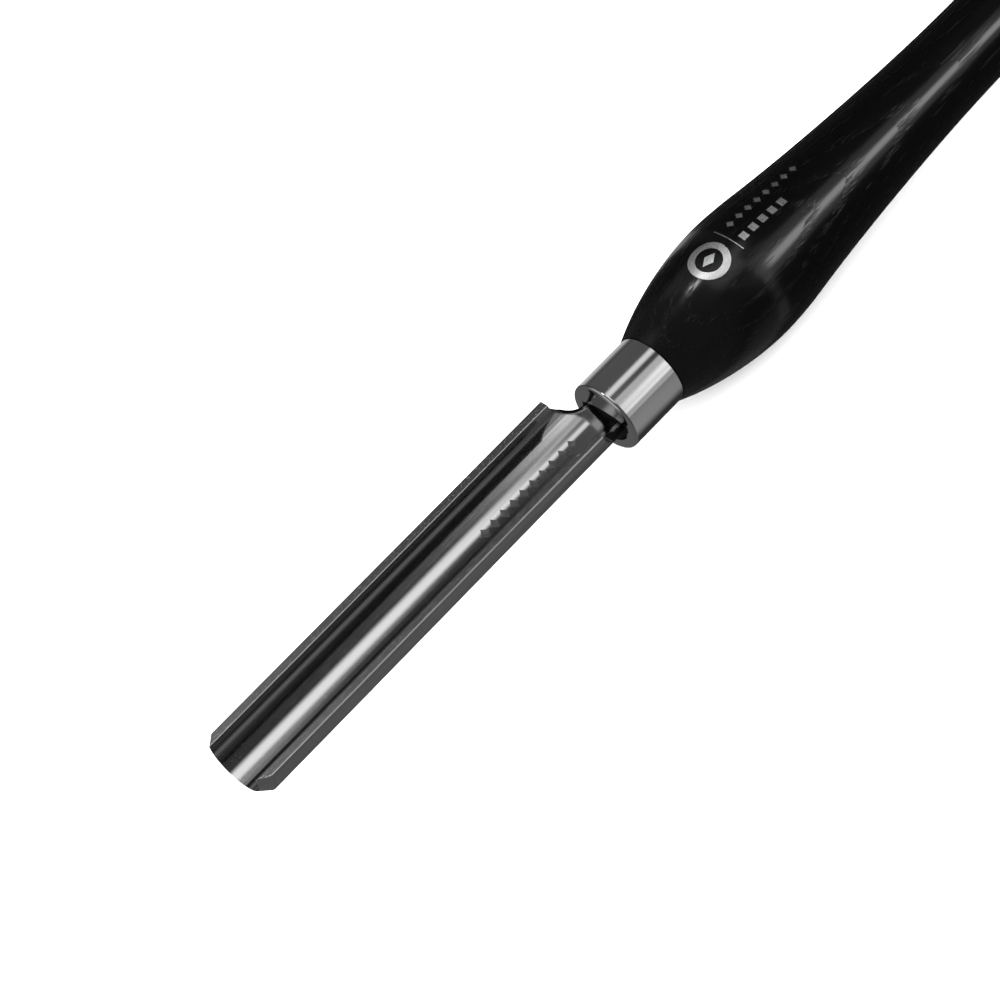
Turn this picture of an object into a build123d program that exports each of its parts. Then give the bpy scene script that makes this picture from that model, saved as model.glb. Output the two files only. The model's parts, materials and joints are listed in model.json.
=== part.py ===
"""Spindle roughing gouge: a half-round fluted blade whose tang is glued through a steel
ferrule into a turned ash handle.

The tool lies along X, with its cutting edge toward -X, its butt toward +X and the open side
of the flute up. The origin is the bottom centre of the box around the whole tool.
"""

import os
from math import hypot, radians, sqrt, tan

from build123d import *

os.makedirs("parts", exist_ok=True)

# ---- Lengths along the tool (millimetres) ----
blade_reach = 155.0  # cutting edge to the front face of the ferrule
ferrule_length = 22.0
handle_length = 380.0  # shoulder behind the ferrule to the butt

# ---- Blade section: a U with a half-round belly and straight sides ----
blade_width = 25.4
blade_wall = 3.05
side_height = 1.5  # straight sides, from the half-round belly up to the flat rims
belly_depth = 2.8  # underside of the blade below the tool's axis

# ---- Cutting end ----
bevel_angle = 40.0  # between the bevel and the flute
edge_land = 0.08  # blunt left at the cutting edge

# ---- Heel, where the U is cut down to the neck ----
flute_overrun = 4.0  # the flute runs on past the ferrule's face and leaves the neck hollow
scoop_radius = 11.1  # round cut across both side walls
neck_top = 1.95  # flat top of neck and tang above the axis
neck_half_width = 7.6
neck_relief_radius = 7.5  # round cuts that narrow the belly to the neck

# ---- Tang inside the handle ----
tang_length = 95.0  # from the ferrule's face
tang_end_half_width = 4.2
tang_end_chamfer = 1.6

# ---- Adhesive bed and the walls around it ----
adhesive_recess = 2.0  # its front behind the ferrule's face
glue_gap = 0.55  # between the corners of the tang and the bore
mouth_bore_depth = 46.0  # from the ferrule's face to the step in the bore
tang_end_clearance = 5.0  # end of the tang to the bottom of the bore
tenon_wall = 1.85

# ---- Ferrule: a turned steel cap ----
ferrule_wall = 2.0
ferrule_cap = 2.5  # thickness of its front wall
ferrule_edge_round = 1.0
ferrule_rear_break = 0.25
hole_side_clearance = 0.85  # around the corners of the neck
hole_top_clearance = 0.87  # the hole's low arched top above the corners of the neck
hole_top_radius = 24.0

# ---- Handle outline: distances from the shoulder unless named otherwise, and radii ----
shoulder_step = 0.35  # the wood stands this much prouder than the ferrule
shoulder_slope = 23.0  # degrees that the outline rises at the shoulder
flank_at = 19.5
flank_radius = 18.65
bulge_at = 41.0
bulge_radius = 21.0
taper_at = 62.0
taper_radius = 19.35
slim_at = 98.0
slim_radius = 16.15
waist_at = 152.0
waist_radius = 13.72
palm_after_waist = 50.0
palm_radius = 14.3
swell_before_butt = 72.0
swell_radius = 17.6
dome_depth = 14.0
dome_radius = 15.6  # where the rounded end begins
dome_crown_depth = 3.6
dome_crown_radius = 11.4
butt_flat_radius = 5.0

# ---- Places that follow from the sizes above ----
overall_length = blade_reach + ferrule_length + handle_length
x_edge = -overall_length / 2
x_face = x_edge + blade_reach
x_shoulder = x_face + ferrule_length
x_butt = x_shoulder + handle_length
x_tang_end = x_face + tang_length
x_tenon = x_face + ferrule_cap
x_bore_step = x_face + mouth_bore_depth
x_bore_end = x_tang_end + tang_end_clearance
x_waist = x_shoulder + waist_at
axis_z = max(bulge_radius, swell_radius)
tool_axis = Axis((0, 0, axis_z), (1, 0, 0))

half_width = blade_width / 2
flute_half_width = half_width - blade_wall
belly_centre_z = axis_z - belly_depth + half_width
rim_z = belly_centre_z + side_height
neck_z = axis_z + neck_top
bevel_setback = (blade_wall - edge_land) / tan(radians(bevel_angle))

neck_corner_radius = hypot(neck_half_width, neck_top)
tang_slope = (neck_half_width - tang_end_half_width) / (tang_length - tang_end_chamfer)
step_half_width = neck_half_width - tang_slope * mouth_bore_depth
hole_radius = neck_corner_radius + hole_side_clearance
hole_top_centre_z = neck_z + hole_top_clearance - sqrt(hole_top_radius**2 - neck_half_width**2)
mouth_bore_radius = neck_corner_radius + glue_gap
deep_bore_radius = hypot(step_half_width, max(neck_top, belly_depth)) + glue_gap
ferrule_bore_radius = mouth_bore_radius + tenon_wall
ferrule_radius = ferrule_bore_radius + ferrule_wall
shoulder_radius = ferrule_radius + shoulder_step
cutter_margin = 5.0


def u_section(x, half, top_z):
    """Return the filled half-round section with straight sides, across the tool at x."""
    with BuildSketch(Plane.YZ.offset(x)) as section:
        with BuildLine():
            Line((-half, top_z), (-half, belly_centre_z))
            ThreePointArc((-half, belly_centre_z), (0, belly_centre_z - half), (half, belly_centre_z))
            Line((half, belly_centre_z), (half, top_z))
            Line((half, top_z), (-half, top_z))
        make_face()
    return section.sketch


def round_plug(x_start, x_end, radius):
    """Return a round solid on the tool's axis between two places along it."""
    with BuildPart() as plug:
        with BuildSketch(Plane.YZ.offset(x_start)):
            with Locations((0, axis_z)):
                Circle(radius)
        extrude(amount=x_end - x_start)
    return plug.part


def hole_plug(x_start, x_end):
    """Return the shape of the ferrule's hole, round with a low arched top, between two places."""
    with BuildPart() as plug:
        with BuildSketch(Plane.YZ.offset(x_start)):
            with Locations((0, axis_z)):
                Circle(hole_radius)
            with Locations((0, hole_top_centre_z)):
                Circle(hole_top_radius, mode=Mode.INTERSECT)
        extrude(amount=x_end - x_start)
    return plug.part


# ---- Blade, neck and tang: one piece of high-speed steel ----
with BuildPart() as blade:
    # The bar, with its outside bevel running down to the cutting edge
    extrude(
        u_section(x_edge + bevel_setback, half_width, rim_z),
        amount=x_tang_end - x_edge - bevel_setback,
    )
    loft(
        [
            u_section(x_edge, flute_half_width + edge_land, rim_z),
            u_section(x_edge + bevel_setback, half_width, rim_z),
        ],
        ruled=True,
    )
    # The flute, straight from the cutting edge into the ferrule's mouth
    extrude(
        u_section(x_edge - cutter_margin, flute_half_width, rim_z + cutter_margin),
        amount=cutter_margin + blade_reach + flute_overrun,
        mode=Mode.SUBTRACT,
    )
    # The heel scooped down to the neck, and the flat top of the tang
    with BuildSketch(Plane.XZ):
        with Locations((x_face, neck_z + scoop_radius)):
            Circle(scoop_radius)
            Rectangle(2 * scoop_radius, half_width, align=(Align.CENTER, Align.MIN))
        with Locations((x_face, neck_z)):
            Rectangle(
                tang_length + cutter_margin,
                2 * scoop_radius,
                align=(Align.MIN, Align.MIN),
            )
    extrude(amount=blade_width, both=True, mode=Mode.SUBTRACT)
    # The sides drawn in to the neck and tapered along the tang
    with BuildSketch(Plane.XY):
        with BuildLine():
            Polyline(
                (x_face, neck_half_width),
                (x_tang_end - tang_end_chamfer, tang_end_half_width),
                (x_tang_end, tang_end_half_width - tang_end_chamfer),
                (x_tang_end, blade_width),
                (x_face, blade_width),
                close=True,
            )
        make_face()
        with Locations((x_face, neck_half_width + neck_relief_radius)):
            Circle(neck_relief_radius)
        mirror(about=Plane.XZ)
    extrude(amount=2 * rim_z, mode=Mode.SUBTRACT)
blade.part.label = "blade"

# ---- Ferrule ----
with BuildPart() as ferrule:
    add(round_plug(x_face, x_shoulder, ferrule_radius))
    fillet(ferrule.edges().filter_by(GeomType.CIRCLE).sort_by(Axis.X)[0], ferrule_edge_round)
    chamfer(ferrule.edges().filter_by(GeomType.CIRCLE).sort_by(Axis.X)[-1], ferrule_rear_break)
    add(round_plug(x_tenon, x_shoulder, ferrule_bore_radius), mode=Mode.SUBTRACT)
    add(hole_plug(x_face, x_tenon), mode=Mode.SUBTRACT)
ferrule.part.label = "ferrule"

# ---- Adhesive that beds the tang in the handle and shows at the ferrule's mouth ----
with BuildPart() as tang_adhesive:
    add(hole_plug(x_face + adhesive_recess, x_tenon))
    add(round_plug(x_tenon, x_bore_step, mouth_bore_radius))
    add(round_plug(x_bore_step, x_bore_end, deep_bore_radius))
    add(blade.part, mode=Mode.SUBTRACT)
tang_adhesive.part.label = "tang_adhesive"

# ---- Handle: one turned piece of ash with a tenon for the ferrule and a stepped bore ----
with BuildPart() as handle:
    with BuildSketch(Plane.XZ):
        with BuildLine():
            nose = Spline(
                (x_shoulder, axis_z + shoulder_radius),
                (x_shoulder + flank_at, axis_z + flank_radius),
                (x_shoulder + bulge_at, axis_z + bulge_radius),
                tangents=[(1, tan(radians(shoulder_slope))), (1, 0)],
            )
            grip = Spline(
                nose @ 1,
                (x_shoulder + taper_at, axis_z + taper_radius),
                (x_shoulder + slim_at, axis_z + slim_radius),
                (x_waist, axis_z + waist_radius),
                (x_waist + palm_after_waist, axis_z + palm_radius),
                (x_butt - swell_before_butt, axis_z + swell_radius),
                (x_butt - dome_depth, axis_z + dome_radius),
                tangents=[(1, 0), (1, -0.14)],
            )
            dome = Spline(
                grip @ 1,
                (x_butt - dome_crown_depth, axis_z + dome_crown_radius),
                (x_butt, axis_z + butt_flat_radius),
                tangents=[grip % 1, (0.25, -1)],
            )
            Polyline(
                dome @ 1,
                (x_butt, axis_z),
                (x_tenon, axis_z),
                (x_tenon, axis_z + ferrule_bore_radius),
                (x_shoulder, axis_z + ferrule_bore_radius),
                (x_shoulder, axis_z + shoulder_radius),
            )
        make_face()
    revolve(axis=tool_axis)
    add(round_plug(x_tenon, x_bore_step, mouth_bore_radius), mode=Mode.SUBTRACT)
    add(round_plug(x_tenon, x_bore_end, deep_bore_radius), mode=Mode.SUBTRACT)
handle.part.label = "handle"

export_step(blade.part, "parts/blade.step")
export_step(ferrule.part, "parts/ferrule.step")
export_step(tang_adhesive.part, "parts/tang_adhesive.step")
export_step(handle.part, "parts/handle.step")
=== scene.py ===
"""Looks of a woodturner's roughing gouge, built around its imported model.

The blade is ground steel with a polished flute, the ferrule is polished steel, the bedding is
black adhesive, and the handle is turned ash, dyed black and lacquered. The tool lies along X
with its cutting edge toward -X and the open side of the flute up. Sizes are in millimetres
and become metres where a mesh is made.
"""

from __future__ import annotations

import json
import logging
import math
from collections.abc import Callable
from dataclasses import dataclass, field
from enum import Enum

import bmesh
import bpy
from mathutils import Matrix, Vector, noise


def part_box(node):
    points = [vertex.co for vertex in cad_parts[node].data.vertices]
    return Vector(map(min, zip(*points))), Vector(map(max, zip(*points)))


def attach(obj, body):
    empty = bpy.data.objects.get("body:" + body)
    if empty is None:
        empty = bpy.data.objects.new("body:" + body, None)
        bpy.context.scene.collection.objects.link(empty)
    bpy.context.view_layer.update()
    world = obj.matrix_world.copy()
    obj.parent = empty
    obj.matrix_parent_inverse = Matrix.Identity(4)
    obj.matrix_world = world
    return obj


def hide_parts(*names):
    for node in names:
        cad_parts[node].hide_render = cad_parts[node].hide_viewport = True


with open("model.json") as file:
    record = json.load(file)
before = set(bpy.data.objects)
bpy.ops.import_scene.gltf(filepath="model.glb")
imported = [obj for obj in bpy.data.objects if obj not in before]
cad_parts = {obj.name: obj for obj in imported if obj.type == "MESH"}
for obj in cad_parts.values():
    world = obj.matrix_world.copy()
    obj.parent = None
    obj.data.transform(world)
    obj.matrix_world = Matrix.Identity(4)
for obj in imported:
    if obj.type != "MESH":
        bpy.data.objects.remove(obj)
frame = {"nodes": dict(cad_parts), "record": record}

MM = 0.001  # metres in a millimetre
LOG = logging.getLogger("gouge")
SHARP_DEGREES = 38.0  # edges that turn more than this stay sharp
WELD = 0.002  # points nearer than this are one, in millimetres
SLIVER = 0.0005  # edges shorter than this are dissolved, in millimetres
TURNED_WELD = 0.003  # the same for turned points, in millimetres
SENSOR_WIDTH = 36.0  # the camera's film, in millimetres

Pair = tuple[float, float]
Triple = tuple[float, float, float]
Socket = bpy.types.NodeSocket
Object = bpy.types.Object
Material = bpy.types.Material
BMesh = bmesh.types.BMesh
Number = float | Socket
Sockets = dict[str | int, object]  # socket names or numbers with a constant or a socket to link


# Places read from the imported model
@dataclass(frozen=True)
class ToolPlaces:
    """Places along the tool, in millimetres, that every sub-assembly shares.

    Args:
        edge: the cutting edge.
        face: the front face of the ferrule.
        shoulder: the end of the ferrule, where the wood begins to show.
        butt: the end of the handle.
        tang_end: the end of the tang inside the handle.
        axis: the height of the tool's axis above the floor.
        rim: the height of the blade's flat rims.
        half_width: half the width of the blade.
        ferrule_radius: the outside of the ferrule.
    """

    edge: float
    face: float
    shoulder: float
    butt: float
    tang_end: float
    axis: float
    rim: float
    half_width: float
    ferrule_radius: float

    @classmethod
    def from_frame(cls) -> ToolPlaces:
        """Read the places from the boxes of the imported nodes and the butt's mount.

        Returns:
            The places in millimetres.
        """
        blade_low, blade_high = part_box("blade")
        ferrule_low, ferrule_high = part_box("ferrule")
        butt = next(m for m in frame["record"]["mounts"] if m["name"] == "butt")
        return cls(
            edge=blade_low.x / MM,
            face=ferrule_low.x / MM,
            shoulder=ferrule_high.x / MM,
            butt=butt["pos_m"][0] / MM,
            tang_end=blade_high.x / MM,
            axis=butt["pos_m"][2] / MM,
            rim=blade_high.z / MM,
            half_width=blade_high.y / MM,
            ferrule_radius=ferrule_high.y / MM,
        )


# Wiring of node trees
class Wiring:
    """Adds nodes to one node tree and links them."""

    def __init__(self, tree: bpy.types.NodeTree) -> None:
        """Keep the tree that is being wired."""
        self.tree = tree

    def add(self, kind: str, inputs: Sockets | None = None, **settings: object) -> bpy.types.Node:
        """Add one node.

        Args:
            kind: the node's type name.
            inputs: what its inputs are set to or linked from.
            settings: properties of the node.

        Returns:
            The new node.
        """
        node = self.tree.nodes.new(kind)
        for name, value in settings.items():
            setattr(node, name, value)
        self.fill(node, inputs or {})
        return node

    def fill(self, node: bpy.types.Node, inputs: Sockets) -> None:
        """Set or link inputs of a node.

        Args:
            node: the node.
            inputs: what its inputs are set to or linked from.
        """
        for key, value in inputs.items():
            if isinstance(value, Socket):
                self.tree.links.new(value, node.inputs[key])
            else:
                node.inputs[key].default_value = value

    def math(self, operation: str, *values: Number) -> Socket:
        """Add a Math node and return its value socket."""
        return self.add("ShaderNodeMath", dict(enumerate(values)), operation=operation).outputs[0]

    def vector(self, operation: str, *values: Triple | Socket) -> Socket:
        """Add a Vector Math node and return its vector socket."""
        return self.add("ShaderNodeVectorMath", dict(enumerate(values)), operation=operation).outputs[0]

    def scaled(self, vector: Socket, scale: Number) -> Socket:
        """Add a Vector Math node that scales a vector and return its vector socket."""
        return self.add("ShaderNodeVectorMath", {0: vector, "Scale": scale}, operation="SCALE").outputs[0]

    def ramp(
        self,
        value: Socket,
        low: float,
        high: float,
        out: tuple[Number, Number] = (0.0, 1.0),
        kind: str = "SMOOTHSTEP",
    ) -> Socket:
        """Add a Map Range node.

        Args:
            value: the socket to map.
            low: the value that maps to the first end of out.
            high: the value that maps to the second end of out.
            out: the two ends of the result, each a number or a socket.
            kind: the node's interpolation.

        Returns:
            The mapped socket.
        """
        given = {"Value": value, "From Min": low, "From Max": high, "To Min": out[0], "To Max": out[1]}
        return self.add("ShaderNodeMapRange", given, interpolation_type=kind).outputs["Result"]

    def noise(self, vector: Socket, detail: float, scale: Number = 1.0) -> Socket:
        """Add a Noise Texture node and return its factor socket."""
        given = {"Vector": vector, "Scale": scale, "Detail": detail}
        return self.add("ShaderNodeTexNoise", given).outputs["Fac"]

    def bump(self, height: Socket, strength: float, depth: float) -> Socket:
        """Add a Bump node with its depth in millimetres and return its normal socket."""
        given = {"Height": height, "Strength": strength, "Distance": depth * MM}
        return self.add("ShaderNodeBump", given).outputs["Normal"]

    def place(self) -> Socket:
        """Add the object coordinates and return their socket."""
        return self.add("ShaderNodeTexCoord").outputs["Object"]


def new_group(name: str, inputs: dict[str, tuple[str, object]], outputs: dict[str, str]) -> Wiring:
    """Start a shader node group with named sockets.

    Args:
        name: the group's name.
        inputs: socket names with their type and default.
        outputs: socket names with their type.

    Returns:
        The wiring of the new group.
    """
    tree = bpy.data.node_groups.new(name, "ShaderNodeTree")
    for label, (kind, default) in inputs.items():
        socket = tree.interface.new_socket(label, in_out="INPUT", socket_type=kind)
        socket.default_value = default
    for label, kind in outputs.items():
        tree.interface.new_socket(label, in_out="OUTPUT", socket_type=kind)
    return Wiring(tree)


class SharedEffects:
    """Shader node groups that more than one finish uses, each built once."""

    fine_scale = 4.3
    line_span = (0.3, 0.7)
    haze_span = (0.35, 0.7)

    @staticmethod
    def fetch(name: str, build: Callable[[], bpy.types.NodeTree]) -> bpy.types.NodeTree:
        """Return the named group, building it the first time."""
        return bpy.data.node_groups.get(name) or build()

    @classmethod
    def ground_lines(cls) -> bpy.types.NodeTree:
        """Return the group of fine lines that a grinding belt or a buff leaves."""
        return cls.fetch("ground_lines", cls._build_ground_lines)

    @classmethod
    def handling_haze(cls) -> bpy.types.NodeTree:
        """Return the group of soft, uneven haze that handling leaves on a gloss surface."""
        return cls.fetch("handling_haze", cls._build_handling_haze)

    @classmethod
    def _build_ground_lines(cls) -> bpy.types.NodeTree:
        """Build the ground lines: noise drawn out by the Stretch vector, coarse and fine.

        Returns:
            The group's tree.
        """
        inputs = {
            "Vector": ("NodeSocketVector", (0.0, 0.0, 0.0)),
            "Stretch": ("NodeSocketVector", (1.0, 1.0, 1.0)),
            "Low": ("NodeSocketFloat", 0.2),
            "High": ("NodeSocketFloat", 0.3),
        }
        outputs = {"Lines": "NodeSocketFloat", "Roughness": "NodeSocketFloat"}
        wiring = new_group("ground_lines", inputs, outputs)
        source = wiring.add("NodeGroupInput")
        drawn = wiring.vector("MULTIPLY", source.outputs["Vector"], source.outputs["Stretch"])
        fine = wiring.noise(wiring.scaled(drawn, cls.fine_scale), 2.0)
        lines = wiring.math("MULTIPLY", wiring.math("ADD", wiring.noise(drawn, 3.0), fine), 0.5)
        ends = (source.outputs["Low"], source.outputs["High"])
        rough = wiring.ramp(lines, *cls.line_span, ends, "LINEAR")
        wiring.add("NodeGroupOutput", {"Lines": lines, "Roughness": rough})
        return wiring.tree

    @classmethod
    def _build_handling_haze(cls) -> bpy.types.NodeTree:
        """Build the haze: large soft patches that move a roughness between two values.

        Returns:
            The group's tree.
        """
        inputs = {
            "Vector": ("NodeSocketVector", (0.0, 0.0, 0.0)),
            "Patch Scale": ("NodeSocketFloat", 60.0),
            "Clean": ("NodeSocketFloat", 0.1),
            "Hazy": ("NodeSocketFloat", 0.2),
        }
        wiring = new_group("handling_haze", inputs, {"Roughness": "NodeSocketFloat"})
        source = wiring.add("NodeGroupInput")
        patches = wiring.noise(source.outputs["Vector"], 4.0, source.outputs["Patch Scale"])
        ends = (source.outputs["Clean"], source.outputs["Hazy"])
        wiring.add("NodeGroupOutput", {"Roughness": wiring.ramp(patches, *cls.haze_span, ends, "LINEAR")})
        return wiring.tree


# Finishes
class Lay(Enum):
    """The way that the grinding lines of a steel surface run, as how much noise is drawn out."""

    ALONG = (12.0, 2600.0, 2600.0)
    ACROSS = (2400.0, 60.0, 60.0)
    AROUND = (1800.0, 90.0, 90.0)


def grey(tone: float) -> tuple[float, float, float, float]:
    """Return an opaque grey."""
    return (tone, tone, tone, 1.0)


def blank_material(name: str) -> tuple[Material, Wiring, bpy.types.Node]:
    """Make a material with only its output and a Principled shader.

    Args:
        name: the material's name.

    Returns:
        The material, its wiring and the Principled node.
    """
    material = bpy.data.materials.new(name)
    material.use_nodes = True
    material.node_tree.nodes.clear()
    wiring = Wiring(material.node_tree)
    shader = wiring.add("ShaderNodeBsdfPrincipled")
    wiring.add("ShaderNodeOutputMaterial", {"Surface": shader.outputs["BSDF"]})
    return material, wiring, shader


def hazed(wiring: Wiring, scale: float, clean: float, hazy: float) -> Socket:
    """Add the handling haze to a material.

    Args:
        wiring: the material's wiring.
        scale: how fine the patches are.
        clean: roughness of the cleanest places.
        hazy: roughness of the dullest places.

    Returns:
        A socket with the roughness.
    """
    given = {"Vector": wiring.place(), "Patch Scale": scale, "Clean": clean, "Hazy": hazy}
    group = SharedEffects.handling_haze()
    return wiring.add("ShaderNodeGroup", given, node_tree=group).outputs["Roughness"]


@dataclass(frozen=True)
class GroundSteel:
    """Bare steel with the lines of its grinding or polishing.

    Args:
        name: the material's name.
        tone: the grey of the bare metal.
        lay: the way that the lines run.
        smooth: roughness between the lines.
        rough: roughness in the lines.
        line_depth: how deep the lines are cut, in millimetres.
    """

    name: str
    tone: float
    lay: Lay
    smooth: float
    rough: float
    line_depth: float

    def material(self) -> Material:
        """Build the material.

        Returns:
            The material.
        """
        material, wiring, shader = blank_material(self.name)
        given = {"Vector": wiring.place(), "Stretch": self.lay.value, "Low": self.smooth, "High": self.rough}
        lines = wiring.add("ShaderNodeGroup", given, node_tree=SharedEffects.ground_lines())
        normal = wiring.bump(lines.outputs["Lines"], 1.0, self.line_depth)
        wiring.fill(shader, {"Base Color": grey(self.tone), "Metallic": 1.0, "Normal": normal})
        wiring.fill(shader, {"Roughness": lines.outputs["Roughness"]})
        return material


@dataclass(frozen=True)
class EbonisedAsh:
    """Ash dyed black under clear lacquer, with the open pores of its growth rings.

    Args:
        name: the material's name.
        tone: the grey of the dyed wood.
        pith: where the tree's centre lay across the tool (y, z), in millimetres.
        ring_pitch: distance between growth rings, in millimetres.
        ring_stretch: how much the noise that makes the rings wander is drawn out.
        ring_wander: how far the rings wander, in metres.
        ring_tilt: how much the rings run out of the tool's length.
        early_wood: share of a ring where its porous wood ends, from full to none.
        pore_stretch: how much the pores are drawn out.
        pore_span: noise values between which a pore opens.
        pore_depth: depth of the pores under the lacquer, in millimetres.
        pore_rough: how much rougher the lacquer is in a pore.
        swell_stretch: how much the soft swell of the surface is drawn out.
        swell_height: height of the swell, as a share of the pores' depth.
        early_sink: how far the porous wood sinks, as a share of the pores' depth.
        relief: how much of all this shows through the lacquer.
        haze: scale of the handling haze and its least and most roughness.
        lacquer: the lacquer's index, and the weight and roughness of its outer coat.
    """

    name: str = "ebonised_ash"
    tone: float = 0.0004
    pith: Pair = (-64.0, 118.0)
    ring_pitch: float = 2.9
    ring_stretch: Triple = (9.0, 60.0, 60.0)
    ring_wander: float = 0.007
    ring_tilt: float = 0.045
    early_wood: Pair = (0.08, 0.5)
    pore_stretch: Triple = (42.0, 2000.0, 2000.0)
    pore_span: Pair = (0.50, 0.66)
    pore_depth: float = 0.11
    pore_rough: float = 0.35
    swell_stretch: Triple = (14.0, 240.0, 240.0)
    swell_height: float = 0.6
    early_sink: float = 0.25
    relief: float = 0.55
    haze: Triple = (55.0, 0.08, 0.14)
    lacquer: Triple = (1.37, 0.30, 0.30)

    def rings(self, wiring: Wiring, place: Socket) -> Socket:
        """Wire the growth rings.

        Args:
            wiring: the material's wiring.
            place: the object coordinates.

        Returns:
            A mask that is 1 in the porous early wood of each ring.
        """
        wander = wiring.noise(wiring.vector("MULTIPLY", place, self.ring_stretch), 2.0)
        centred = wiring.vector("SUBTRACT", place, (0.0, self.pith[0] * MM, self.pith[1] * MM))
        parts = wiring.add("ShaderNodeSeparateXYZ", {0: centred})
        square_y = wiring.math("MULTIPLY", parts.outputs["Y"], parts.outputs["Y"])
        square = wiring.math("MULTIPLY_ADD", parts.outputs["Z"], parts.outputs["Z"], square_y)
        bent = wiring.math("MULTIPLY_ADD", wander, self.ring_wander, wiring.math("SQRT", square))
        tilted = wiring.math("MULTIPLY_ADD", parts.outputs["X"], self.ring_tilt, bent)
        turns = wiring.math("FRACT", wiring.math("MULTIPLY", tilted, 1.0 / (self.ring_pitch * MM)))
        return wiring.math("SUBTRACT", 1.0, wiring.ramp(turns, *self.early_wood))

    def material(self) -> Material:
        """Build the material.

        Returns:
            The material.
        """
        material, wiring, shader = blank_material(self.name)
        place = wiring.place()
        early = self.rings(wiring, place)
        vessel = wiring.noise(wiring.vector("MULTIPLY", place, self.pore_stretch), 1.5)
        pores = wiring.math("MULTIPLY", wiring.ramp(vessel, *self.pore_span), early)
        swell = wiring.noise(wiring.vector("MULTIPLY", place, self.swell_stretch), 2.0)
        raised = wiring.math("MULTIPLY", swell, self.swell_height)
        soft = wiring.math("MULTIPLY_ADD", early, -self.early_sink, raised)
        height = wiring.math("SUBTRACT", soft, pores)
        rough = wiring.math("MULTIPLY_ADD", pores, self.pore_rough, hazed(wiring, *self.haze))
        index, coat_weight, coat_rough = self.lacquer
        wiring.fill(shader, {"Base Color": grey(self.tone), "IOR": index, "Coat Weight": coat_weight})
        wiring.fill(shader, {"Coat Roughness": coat_rough, "Roughness": rough})
        wiring.fill(shader, {"Normal": wiring.bump(height, self.relief, self.pore_depth)})
        return material


@dataclass(frozen=True)
class BeddingAdhesive:
    """Black epoxy that set with a slightly dull, lumpy skin.

    Args:
        name: the material's name.
        tone: the grey of the resin.
        lump: how far the skin undulates, in millimetres.
        lump_scale: how fine the lumps are.
        relief: how much of the lumps shows.
        rough: roughness of the skin.
        index: the resin's index of refraction.
    """

    name: str = "black_adhesive"
    tone: float = 0.002
    lump: float = 0.12
    lump_scale: float = 900.0
    relief: float = 0.6
    rough: float = 0.5
    index: float = 1.22

    def material(self) -> Material:
        """Build the material.

        Returns:
            The material.
        """
        material, wiring, shader = blank_material(self.name)
        skin = wiring.noise(wiring.place(), 3.0, self.lump_scale)
        normal = wiring.bump(skin, self.relief, self.lump)
        wiring.fill(shader, {"Base Color": grey(self.tone), "Roughness": self.rough})
        wiring.fill(shader, {"IOR": self.index, "Normal": normal})
        return material


@dataclass(frozen=True)
class MarkFilm:
    """A thin film that marks a surface: silver foil on lacquer, or a dull etch on steel.

    Args:
        name: the material's name.
        tone: the grey of the film.
        metallic: 1 for a metal film and 0 for a dull one.
        smooth: roughness of the film's cleanest places.
        rough: roughness of its speckled places.
        speckle: how fine the speckle is.
    """

    name: str
    tone: float
    metallic: float
    smooth: float
    rough: float
    speckle: float = 2600.0

    def material(self) -> Material:
        """Build the material.

        Returns:
            The material.
        """
        material, wiring, shader = blank_material(self.name)
        rough = hazed(wiring, self.speckle, self.smooth, self.rough)
        wiring.fill(shader, {"Base Color": grey(self.tone), "Metallic": self.metallic, "Roughness": rough})
        return material


@dataclass(frozen=True)
class SteelFinishes:
    """The finishes of the blade and the ferrule, as each face was worked."""

    flute: GroundSteel = GroundSteel("flute_polished", 0.62, Lay.ALONG, 0.09, 0.14, 0.0003)
    belly: GroundSteel = GroundSteel("belly_linished", 0.55, Lay.ALONG, 0.26, 0.36, 0.0014)
    rim: GroundSteel = GroundSteel("rim_surface_ground", 0.60, Lay.ACROSS, 0.18, 0.26, 0.0008)
    bevel: GroundSteel = GroundSteel("bevel_ground", 0.55, Lay.AROUND, 0.24, 0.34, 0.0022)
    neck: GroundSteel = GroundSteel("neck_ground", 0.50, Lay.ACROSS, 0.28, 0.40, 0.0020)
    ferrule: GroundSteel = GroundSteel("ferrule_polished", 0.63, Lay.ALONG, 0.09, 0.13, 0.0002)


# Meshes
def finish_mesh(build: BMesh, name: str, sharp_degrees: float = SHARP_DEGREES) -> Object:
    """Turn a bmesh in millimetres into an object in metres at the origin.

    Args:
        build: the mesh; it is freed here.
        name: the object's name.
        sharp_degrees: edges that turn more than this stay sharp.

    Returns:
        The new object, closed and with its faces outwards.
    """
    bmesh.ops.remove_doubles(build, verts=build.verts, dist=WELD)
    bmesh.ops.dissolve_degenerate(build, edges=build.edges, dist=SLIVER)
    mesh = mesh_of(build, name)
    mesh.shade_smooth()
    mesh.set_sharp_from_angle(angle=math.radians(sharp_degrees))
    return show(mesh, name)


def mesh_of(build: BMesh, name: str) -> bpy.types.Mesh:
    """Turn a bmesh in millimetres into a mesh in metres.

    Args:
        build: the mesh; it is freed here.
        name: the mesh's name.

    Returns:
        The new mesh, with its faces outwards.
    """
    bmesh.ops.recalc_face_normals(build, faces=build.faces)
    bmesh.ops.scale(build, vec=(MM, MM, MM), verts=build.verts)
    mesh = bpy.data.meshes.new(name)
    build.to_mesh(mesh)
    build.free()
    return mesh


def show(mesh: bpy.types.Mesh, name: str) -> Object:
    """Put a mesh in the scene as an object at the origin.

    Args:
        mesh: the mesh.
        name: the object's name.

    Returns:
        The new object.
    """
    piece = bpy.data.objects.new(name, mesh)
    bpy.context.scene.collection.objects.link(piece)
    return piece


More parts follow.
